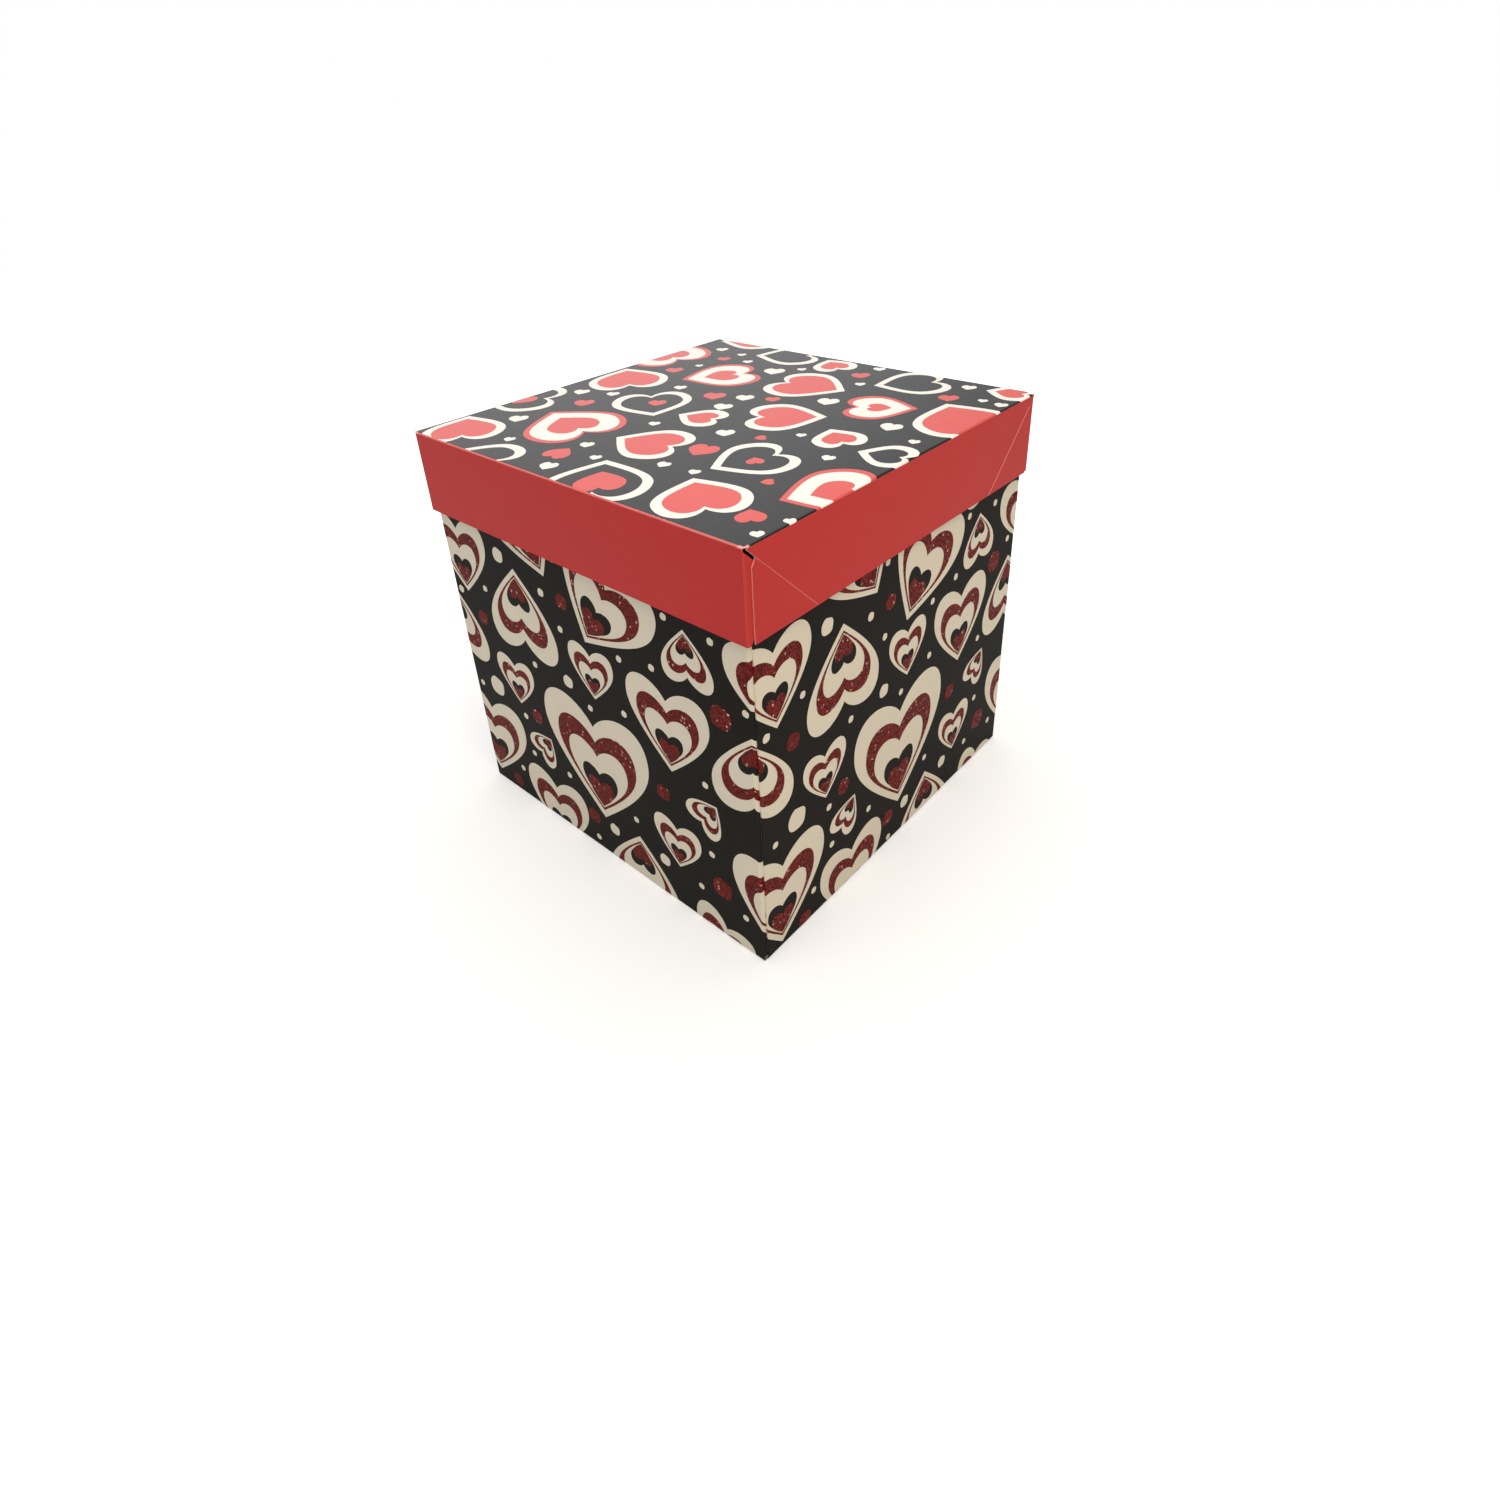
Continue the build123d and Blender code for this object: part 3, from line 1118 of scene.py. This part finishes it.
@dataclass
class BasePrint:
    """Hearts and dots on the four walls of the base. The print repeats about once in a wall's width.

    Attributes:
        outs: outer faces of the box.
        heart_height: height of a heart for its width.
        repeat: distance after which the print comes again, in millimetres.
        drifts: how the print lies on the walls, in the order of the faces.
        overlap: how far a motif may reach over the end of a wall and still be drawn.
        cream_thickness: thickness of the cream ink.
        glitter_thickness: thickness of the glitter varnish.
        outer: outline of a nested heart.
        band_outer: outside of its glitter band.
        band_inner: inside of its glitter band.
        middle: black heart in its middle.
        core: glitter heart in that.
        edge_radius: radius of the cut edge at the seam, in millimetres.
    """

    outs: Outsides
    heart_height: float = 0.91
    repeat: float = 197.6
    drifts: tuple[Drift, ...] = (
        Drift(-0.7, -0.5, 1.012, 0.0156),
        Drift(-0.9, -0.9, slant=0.004, slope=0.004),
        Drift(0.4, -1.8, slant=-0.009, slope=0.005),
        Drift(3.1, -2.9, 0.984, -0.021, 0.006),
    )
    overlap: float = 42.0
    cream_thickness: float = 0.02 * MM
    glitter_thickness: float = 0.09 * MM
    outer: Layer = Layer(1.0, 0.0)
    band_outer: Layer = Layer(0.752, 0.070)
    band_inner: Layer = Layer(0.57, 0.095)
    middle: Layer = Layer(0.342, 0.118)
    core: Layer = Layer(0.25, 0.108)
    edge_radius: float = 0.01

    def faces(self) -> dict[Side, Face]:
        """Outer faces of the walls."""
        outs, radius = self.outs, FOLD_RADIUS / MM
        wide, deep = outs.base_x / MM - radius, outs.base_y / MM - radius
        half_fold = radius * math.pi / 4
        to_seam = radius * math.pi / 2 + outs.seam_y / MM + deep
        up = Vector((0.0, 0.0, 1.0))
        front, left = Vector((0.0, -outs.base_y, 0.0)), Vector((-outs.base_x, 0.0, 0.0))
        bottom, side_bottom = Rim(radius, half_fold), Rim(outs.side_low / MM + radius, half_fold)
        top = Rim(outs.rim / MM)
        cut_edge = Rim(outs.seam_y / MM + self.edge_radius, BOARD / MM, self.edge_radius)

        def face(middle: Vector, left_rim: Rim, right_rim: Rim, bottom_rim: Rim) -> Face:
            """A wall that looks outwards, between its two upright edges."""
            return Face(middle, up.cross(middle.normalized()), up, left_rim, right_rim, bottom_rim, top)

        return {
            Side.FRONT: face(front, Rim(-wide, half_fold), Rim(outs.seam_x / MM - radius, to_seam), bottom),
            Side.LEFT: face(left, Rim(-deep, half_fold), Rim(deep, half_fold), side_bottom),
            Side.BACK: face(-front, Rim(-wide, half_fold), Rim(wide, half_fold), bottom),
            Side.RIGHT: face(-left, cut_edge, Rim(deep, half_fold), side_bottom),
        }

    def repeated(self, spots: Iterable[Spot]) -> list[Spot]:
        """Motifs of one wall, with those of the next repeats that reach over its ends."""
        copies = [spot.shifted(step * self.repeat) for spot in spots for step in (-1, 0, 1)]
        return [copy for copy in copies if abs(copy.x) < self.repeat / 2 + self.overlap]

    def hearts(self) -> dict[Side, list[Spot]]:
        """Nested hearts of each wall, off the repeat at the right end of the front and right walls."""
        plain, end = self.repeated(NESTED_HEARTS), self.repeat / 2
        before = [spot for spot in plain if abs(spot.x - end) > spot.width / 2]
        after = [spot for spot in plain if abs(spot.x + end) > spot.width / 2]
        return {
            Side.FRONT: [*before, *END_HEARTS],
            Side.LEFT: plain,
            Side.BACK: [*after, *(spot.shifted(-self.repeat) for spot in END_HEARTS)],
            Side.RIGHT: [*before, *END_HEARTS],
        }

    def draw(self, stencils: Stencils, hearts: Sequence[Spot]) -> dict[Ink, bpy.types.Object]:
        """Draws the print of one wall flat.

        Args:
            stencils: the outlines to copy.
            hearts: the nested hearts on it.

        Returns:
            The flat sheet of each ink.
        """
        sheets = {Ink.CREAM: FlatSheet("cream_sheet"), Ink.GLITTER: FlatSheet("glitter_sheet")}
        layers = {
            Ink.CREAM: (self.outer, self.band_outer, self.band_inner, self.middle),
            Ink.GLITTER: (self.band_outer, self.band_inner, self.core),
        }
        dots = {Ink.CREAM: CREAM_DOTS, Ink.GLITTER: GLITTER_DOTS}
        for ink, sheet in sheets.items():
            for spot in hearts:
                for layer in layers[ink]:
                    sheet.stamp(stencils.slim_heart, spot.frame(self.heart_height) @ layer.frame())
            for spot in self.repeated(dots[ink]):
                sheet.stamp(stencils.dot, spot.frame(1.0))
        return {ink: sheet.mesh() for ink, sheet in sheets.items()}

    def build(self, stencils: Stencils, finishes: Mapping[Ink, bpy.types.Material]) -> None:
        """Prints the four walls.

        Args:
            stencils: the outlines to copy.
            finishes: material of each ink.
        """
        thickness = {Ink.CREAM: self.cream_thickness, Ink.GLITTER: self.glitter_thickness}
        hearts = self.hearts()
        for (side, face), drift in zip(self.faces().items(), self.drifts):
            for ink, sheet in self.draw(stencils, hearts[side]).items():
                film = Film(f"base_{side.value}_{ink.name.lower()}", ink, Body.BASE, thickness[ink])
                film.dress(film.build(sheet, face, drift.matrix()), finishes[ink])
                bpy.data.objects.remove(sheet)


# The lid's print, measured from the middle of its top

LID_HEARTS = (
    (LidHeart.FILLED, Spot(59.8, -79, 37.6, -127)),
    (LidHeart.FILLED, Spot(1, -50, 36, -79)),
    (LidHeart.HOLLOW, Spot(50.5, -40.5, 36.5, -23)),
    (LidHeart.FILLED, Spot(27.2, 9.2, 37.5, 124)),
    (LidHeart.FILLED, Spot(5.5, 53.2, 41.5, 96)),
    (LidHeart.NESTED, Spot(-48.5, -53, 47, -105)),
    (LidHeart.HOLLOW, Spot(-39, -11.2, 38.5, 49)),
    (LidHeart.NESTED, Spot(-44.7, 42.5, 41.5, -38)),
    (LidHeart.FILLED, Spot(-82.8, 12.3, 41, -129)),
    (LidHeart.FILLED, Spot(-85, -85.2, 37.5, -129)),
    (LidHeart.HOLLOW, Spot(16, -91, 44.3, -140)),
    (LidHeart.HOLLOW, Spot(-101.5, -41.5, 42, -58)),
    (LidHeart.NESTED, Spot(96.8, -47.6, 42.5, -33)),
    (LidHeart.HOLLOW, Spot(91.2, -6, 24.8, -77)),
    (LidHeart.FILLED, Spot(63, 0, 23.5, -127)),
    (LidHeart.FILLED, Spot(-5, -13, 24, -78)),
    (LidHeart.NESTED, Spot(54.5, 43.5, 34.5, 118)),
    (LidHeart.FILLED, Spot(93.2, 49.6, 46.2, -131)),
    (LidHeart.FILLED, Spot(92, 95, 23.5, -78)),
    (LidHeart.HOLLOW, Spot(45.2, 83.4, 37.5, -46)),
    (LidHeart.FILLED, Spot(-7, 90, 23.5, -128)),
    (LidHeart.HOLLOW, Spot(-40.2, 92.6, 37.6, -60)),
    (LidHeart.NESTED, Spot(-102.5, 58, 48, -107)),
    (LidHeart.FILLED, Spot(-80.5, 107, 37, -60)),
    (LidHeart.HOLLOW, Spot(-46.3, -103.2, 35, -79)),
)

LID_WHITE_HEARTS = (
    Spot(29, 37.5, 10.5, 20),
    Spot(73.5, 23.5, 10, 10),
    Spot(91.7, 13.4, 5.1, 15),
    Spot(48.3, -6.2, 4.6, 30),
    Spot(19.3, -22.4, 8.5, 35),
    Spot(74.1, -21.3, 5.9, 10),
    Spot(-16.2, -31.2, 5.5, 30),
    Spot(24.8, -64.4, 6, 10),
    Spot(40.8, -63.1, 5.1, 20),
    Spot(-19.7, -67.1, 6.5, 35),
    Spot(-4.4, -75.1, 5.3, 30),
    Spot(-13, -92.7, 8.1, 20),
    Spot(-54.3, -82.3, 5.4, 30),
    Spot(-75.6, -62.5, 9.3, 35),
    Spot(-84.5, -17.6, 8.2, 30),
    Spot(-68, -11, 6.5, 35),
    Spot(-47.2, 15.6, 6.6, 35),
    Spot(-8, 20.5, 9, 30),
    Spot(-7.3, 4.2, 9.3, 20),
    Spot(-26.4, 63.8, 11.3, 25),
    Spot(-68.5, 50.8, 4.4, 40),
    Spot(-81.8, 83.2, 7, 40),
    Spot(-64.1, 80.4, 5.2, 40),
    Spot(-51.2, 71, 5.6, 40),
    Spot(-16.4, 74.6, 5, 40),
    Spot(25, 68.9, 5.3, 35),
    Spot(17.5, 96.5, 6.5, 35),
    Spot(71.8, 92.1, 7.2, 15),
    Spot(87.4, 77.3, 4.7, 15),
    Spot(97.2, 76, 6.3, 10),
    Spot(98, -91, 5.2, 45),
    Spot(100.2, -76.6, 4.7, 45),
)

LID_RED_HEARTS = (
    Spot(26, -43.5, 13.5, 10),
    Spot(86.3, -81.2, 11.4, -137),
    Spot(-21.7, -80.4, 12.6, 186),
    Spot(-68.6, -29, 10.2, 35),
    Spot(36, -18.5, 5.7, -45),
    Spot(70.8, -54.3, 5.7, -45),
    Spot(52.2, -40.2, 7.6, -135),
    Spot(-38, -9, 9, 35),
    Spot(-22.5, 14.5, 11.3, 30),
    Spot(5, 26, 7.5, 35),
    Spot(-66.5, 68.4, 7.5, 40),
    Spot(-73.5, 37, 9.7, 40),
    Spot(16.3, 81.5, 9.7, 35),
    Spot(72.5, 72.3, 9.7, 25),
    Spot(-99.7, -42.8, 14, 10),
    Spot(17.5, -91, 20.5, -135),
)


@dataclass
class LidPrint:
    """Hearts on the lid's top, cut off where the red of the walls begins.

    Attributes:
        outs: outer faces of the box.
        heart_height: height of a heart for its width.
        outline: width of a white outline, in millimetres.
        rim: width of a nested heart's red outline, in millimetres.
        band: width of a nested heart's white band, in millimetres.
        thickness: thickness of the inks.
        near_turn: degrees that the print goes round the front and left folds.
        far_turn: degrees that it goes round the back and right folds.
        middle: height of the point that inner hearts shrink towards, for the outer heart's height.
    """

    outs: Outsides
    heart_height: float = 0.98
    outline: float = 4.3
    rim: float = 3.0
    band: float = 8.5
    thickness: float = 0.02 * MM
    near_turn: float = 24.0
    far_turn: float = 75.0
    middle: float = 0.52

    def borders(self) -> tuple[float, float]:
        """How far the border of the print lies below the top, on the front and left, and elsewhere."""
        turns = (self.near_turn, self.far_turn)
        return tuple(FOLD_RADIUS * (1 - math.cos(math.radians(turn))) for turn in turns)

    def face(self) -> Face:
        """Top face of the lid, with print some way round the folds."""
        flat = (self.outs.lid_x - FOLD_RADIUS) / MM
        near = Rim(-flat, FOLD_RADIUS / MM * math.radians(self.near_turn))
        far = Rim(flat, FOLD_RADIUS / MM * math.radians(self.far_turn))
        across, along = Vector((1.0, 0.0, 0.0)), Vector((0.0, 1.0, 0.0))
        return Face(Vector((0.0, 0.0, self.outs.lid_top)), across, along, near, far, near, far)

    def stamp(
        self, sheet: FlatSheet, outline: bpy.types.Object, spot: Spot, insets: Iterable[float]
    ) -> None:
        """Copies a heart several times, one inside another.

        Args:
            sheet: the sheet to print.
            outline: the heart's outline.
            spot: the outer heart.
            insets: how far inside it each copy lies.
        """
        for inset in insets:
            scale = 1 - 2 * inset / spot.width
            layer = Layer(scale, (1 - scale) * self.middle)
            sheet.stamp(outline, spot.frame(self.heart_height) @ layer.frame())

    def draw(self, stencils: Stencils) -> dict[Ink, bpy.types.Object]:
        """Draws the whole print flat.

        Args:
            stencils: the outlines to copy.

        Returns:
            The flat sheet of each ink.
        """
        sheets = {Ink.WHITE: FlatSheet("white_sheet"), Ink.RED: FlatSheet("red_sheet")}
        core = self.rim + self.band
        insets = {
            LidHeart.FILLED: {Ink.WHITE: (0.0, self.outline), Ink.RED: (self.outline,)},
            LidHeart.HOLLOW: {Ink.WHITE: (0.0, self.outline)},
            LidHeart.NESTED: {Ink.WHITE: (self.rim, core), Ink.RED: (0.0, self.rim, core)},
            LidHeart.WHITE: {Ink.WHITE: (0.0,)},
            LidHeart.RED: {Ink.RED: (0.0,)},
        }
        small = [(LidHeart.WHITE, spot) for spot in LID_WHITE_HEARTS]
        small += [(LidHeart.RED, spot) for spot in LID_RED_HEARTS]
        for kind, spot in (*LID_HEARTS, *small):
            for ink, depths in insets[kind].items():
                self.stamp(sheets[ink], stencils.round_heart, spot, depths)
        return {ink: sheet.mesh() for ink, sheet in sheets.items()}

    def build(self, stencils: Stencils, finishes: Mapping[Ink, bpy.types.Material]) -> None:
        """Prints the lid's top.

        Args:
            stencils: the outlines to copy.
            finishes: material of each ink.
        """
        for ink, sheet in self.draw(stencils).items():
            film = Film(f"lid_top_{ink.name.lower()}", ink, Body.LID, self.thickness)
            film.dress(film.build(sheet, self.face(), Matrix.Identity(4)), finishes[ink])
            bpy.data.objects.remove(sheet)


@dataclass
class Carton:
    """The panels of the two folded blanks, which keep their shape and get their finish.

    Attributes:
        outs: outer faces of the box.
        red: board of the lid's walls.
        lid_black: board of the lid's top.
        base_black: board of the base's walls.
        bottom: board of the bottom flaps.
    """

    outs: Outsides
    red: LidBoard
    lid_black: LidBoard
    base_black: PrintedBoard
    bottom: BottomBoard

    def skins(self) -> dict[Panels, Skin]:
        """Outsides that groups of panels share."""
        outs = self.outs
        middle, half = (outs.seam_x - outs.base_x) / 2, (outs.seam_x + outs.base_x) / 2
        return {
            Panels.BASE_FRONT: Skin(middle, half, outs.base_y, 0.0, False),
            Panels.BASE_BACK: Skin(0.0, outs.base_x, outs.base_y, 0.0, False),
            Panels.BASE_SIDES: Skin(0.0, outs.base_x, outs.base_y, outs.side_low, False),
            Panels.LID_PLAIN: Skin(0.0, outs.flap_x, outs.lid_y, outs.lid_top, True),
            Panels.LID_SIDES: Skin(0.0, outs.lid_x, outs.lid_y, outs.lid_top, True),
        }

    def dress(self) -> None:
        """Gives every panel its board."""
        skins = self.skins()
        sides = ("left", "right")
        corners = [f"{end}_{side}" for side in sides for end in ("front", "back")]
        side_flaps = [f"bottom_{side}_{kind}" for side in sides for kind in ("flap", "glue_tab")]
        groups = (
            (self.base_black, Panels.BASE_FRONT, ("base_front_wall", "base_seam_flap")),
            (self.base_black, Panels.BASE_BACK, ("base_back_wall",)),
            (self.base_black, Panels.BASE_SIDES, [f"base_{side}_wall" for side in sides]),
            (self.red, Panels.LID_PLAIN, ("lid_front_wall", "lid_back_wall")),
            (self.red, Panels.LID_PLAIN, [f"lid_glue_flap_{corner}" for corner in corners]),
            (self.red, Panels.LID_SIDES, [f"lid_{side}_wall" for side in sides]),
            (self.red, Panels.LID_SIDES, [f"lid_gusset_{corner}" for corner in corners]),
            (self.lid_black, Panels.LID_SIDES, ("lid_top_panel",)),
            (self.bottom, Panels.BASE_FRONT, ("bottom_front_flap",)),
            (self.bottom, Panels.BASE_BACK, ("bottom_back_flap",)),
            (self.bottom, Panels.BASE_SIDES, side_flaps),
        )
        for board, panels, nodes in groups:
            self.paint(nodes, board.material(panels, skins[panels]))

    @staticmethod
    def paint(nodes: Iterable[str], material: bpy.types.Material) -> None:
        """Assigns one material to some panels."""
        for node in nodes:
            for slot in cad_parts[node].material_slots:
                slot.material = material
            log.info("%s: %s", node, material.name)


@dataclass(frozen=True)
class Lamp:
    """A soft square lamp.

    Attributes:
        name: its name.
        place: where it hangs.
        size: its side.
        power: its power, in watts.
        tint: its colour.
    """

    name: str
    place: tuple[float, float, float]
    size: float
    power: float
    tint: RGB

    def hang(self, target: tuple[float, float, float]) -> None:
        """Adds the lamp and aims it.

        Args:
            target: the point that it looks at.
        """
        bpy.ops.object.light_add(type="AREA", location=self.place)
        lamp = bpy.context.object
        lamp.name = self.name
        lamp.data.size = self.size
        lamp.data.energy = self.power
        lamp.data.color = self.tint
        aim = Vector(target) - Vector(self.place)
        lamp.rotation_euler = aim.to_track_quat("-Z", "Y").to_euler()


@dataclass
class Studio:
    """Pale floor, soft light and the camera.

    Attributes:
        floor_size: side of the floor.
        floor_drop: how far the floor lies below the box.
        floor_colour: colour of the floor.
        floor_glow: light that the camera sees on the floor by the box besides what falls on it.
        glow_reach: distances from the box between which that rises to white.
        fill: light from all round.
        sheen: brightness of the surround where a surface mirrors it.
        dim_side: share of that on the right.
        dim_reach: directions between which it fades, from -1 on the left to 1 on the right.
        lamps: the lamps.
        lamp_target: what the lamps look at.
        eye: where the camera stands.
        azimuth: degrees that the camera stands to the right of the front.
        elevation: degrees that it looks down.
        roll: degrees that it is turned about its own axis.
        lens: focal length, in millimetres.
        shift_y: how far the picture is shifted, for its size.
    """

    floor_size: float = 6.0
    floor_drop: float = 0.05 * MM
    floor_colour: RGB = (0.66, 0.66, 0.66)
    floor_glow: float = 0.4
    glow_reach: tuple[float, float] = (0.16, 0.5)
    fill: float = 0.34
    sheen: float = 0.78
    dim_side: float = 0.45
    dim_reach: tuple[float, float] = (-0.68, -0.3)
    lamps: tuple[Lamp, ...] = (
        Lamp("key", (0.75, -0.35, 1.05), 0.7, 6.6, (1.0, 0.86, 0.69)),
        Lamp("overhead", (-0.1, 0.15, 1.3), 1.2, 11.0, (1.0, 0.99, 0.97)),
        Lamp("front", (-0.5, -1.1, 0.6), 0.9, 1.9, (0.86, 0.94, 1.0)),
    )
    lamp_target: tuple[float, float, float] = (0.0, 0.0, 0.1)
    eye: tuple[float, float, float] = (0.2816, -0.2919, 0.3282)
    azimuth: float = 43.113
    elevation: float = 28.405
    roll: float = -2.962
    lens: float = 21.78
    shift_y: float = -0.11

    def build(self) -> None:
        """Sets everything up."""
        self.floor()
        self.sky()
        for lamp in self.lamps:
            lamp.hang(self.lamp_target)
        self.camera()
        bpy.context.scene.view_settings.view_transform = "Standard"

    def floor(self) -> None:
        """A wide plain floor, which keeps the shadow of the box."""
        bpy.ops.object.select_all(action="DESELECT")
        bpy.ops.mesh.primitive_plane_add(size=self.floor_size, location=(0.0, 0.0, -self.floor_drop))
        floor = bpy.context.object
        floor.name = "floor"
        shader = Shader.named("pale_floor")
        far = shader.vector("LENGTH", {0: shader.place}, "Value").rise(*self.glow_reach)
        glow = shader.background_ray() * (self.floor_glow + far * (1.0 - self.floor_glow))
        cloud = shader.noise(300 * MM)
        floor.data.materials.append(
            shader.finish(
                base_color=shader.mix(cloud, self.floor_colour, shade(self.floor_colour, 0.99)),
                roughness=0.9,
                specular_ior_level=0.0,
                emission_color=shader.mix(glow, (0.0, 0.0, 0.0), (1.0, 1.0, 1.0)),
                emission_strength=1.0,
            )
        )

    def sky(self) -> None:
        """Light from all round, dimmer on the right where it is mirrored, before a white background."""
        world = bpy.data.worlds.new("studio")
        bpy.context.scene.world = world
        shader = Shader(world)
        mirrored = shader.add("ShaderNodeLightPath", output="Is Glossy Ray")
        toward = shader.add("ShaderNodeTexCoord", output="Generated")
        right = shader.add("ShaderNodeSeparateXYZ", {}, {0: toward}).rise(*self.dim_reach)
        mirror = shader.mix(right, (self.sheen,) * 3, (self.sheen * self.dim_side,) * 3)
        light = shader.mix(mirrored, (self.fill,) * 3, mirror)
        seen = shader.mix(shader.background_ray(), light, (1.0, 1.0, 1.0))
        surface = shader.add("ShaderNodeBackground", {}, {"Color": seen, "Strength": 1.0})
        shader.add("ShaderNodeOutputWorld", {}, {"Surface": surface})

    def camera(self) -> None:
        """Adds the camera at the photograph's viewing angle."""
        turn, tilt = math.radians(self.azimuth), math.radians(self.elevation)
        back = Vector((math.sin(turn) * math.cos(tilt), -math.cos(turn) * math.cos(tilt), math.sin(tilt)))
        upright = (-back).to_track_quat("-Z", "Y")
        bpy.ops.object.camera_add(location=self.eye)
        camera = bpy.context.object
        camera.rotation_mode = "QUATERNION"
        camera.rotation_quaternion = upright @ Quaternion((0.0, 0.0, 1.0), math.radians(self.roll))
        camera.data.lens = self.lens
        camera.data.sensor_width = 36.0
        camera.data.shift_y = self.shift_y
        camera.data.clip_start = 0.01
        bpy.context.scene.camera = camera


def main() -> None:
    """Dresses the panels, prints them and sets up the studio."""
    logging.basicConfig(level=logging.INFO, format="%(name)s: %(message)s")
    outs = Outsides.read()
    lid_print = LidPrint(outs)
    borders = lid_print.borders()
    carton = Carton(
        outs=outs,
        red=LidBoard(
            name="red_print",
            ink=RED,
            # On the lid's walls the pale red of the folds is partly rubbed ink and partly a painted
            # highlight.
            worn_and_highlight=WORN_AND_HIGHLIT_RED,
            level_wear_and_highlight=0.6,
            upright_wear=0.12,
            corner_wear=0.9,
            roughness=0.36,
            specular=0.16,
            edge=RED_EDGE,
            other=LID_BLACK,
            border=borders,
        ),
        lid_black=LidBoard(
            name="lid_black_print",
            ink=RED,
            worn_and_highlight=WORN_AND_HIGHLIT_RED,
            level_wear_and_highlight=0.6,
            upright_wear=0.0,
            corner_wear=0.9,
            roughness=0.24,
            specular=0.5,
            edge=RED_EDGE,
            other=LID_BLACK,
            border=borders,
        ),
        base_black=PrintedBoard(
            name="base_black_print",
            ink=BASE_BLACK,
            worn_and_highlight=WORN_BLACK,
            level_wear_and_highlight=0.25,
            upright_wear=0.2,
            corner_wear=0.0,
            roughness=0.5,
            specular=0.085,
            edge=BLACK_EDGE,
            inked_edge=0.5 * MM,
        ),
        bottom=BottomBoard("bottom_board", BASE_BLACK),
    )
    carton.dress()
    stencils = Stencils()
    stencils.draw()
    BasePrint(outs).build(
        stencils,
        {
            Ink.CREAM: InkFilm("cream_ink", CREAM, roughness=0.5, specular=0.15).material(),
            Ink.GLITTER: Glitter("red_glitter").material(),
        },
    )
    lid_print.build(
        stencils,
        {
            Ink.WHITE: InkFilm("white_ink", WHITE, roughness=0.24, specular=0.5).material(),
            Ink.RED: InkFilm("red_ink", PALE_RED, roughness=0.24, specular=0.5).material(),
        },
    )
    stencils.put_away()
    Studio().build()
    bpy.context.view_layer.update()


if __name__ == "__main__":
    main()
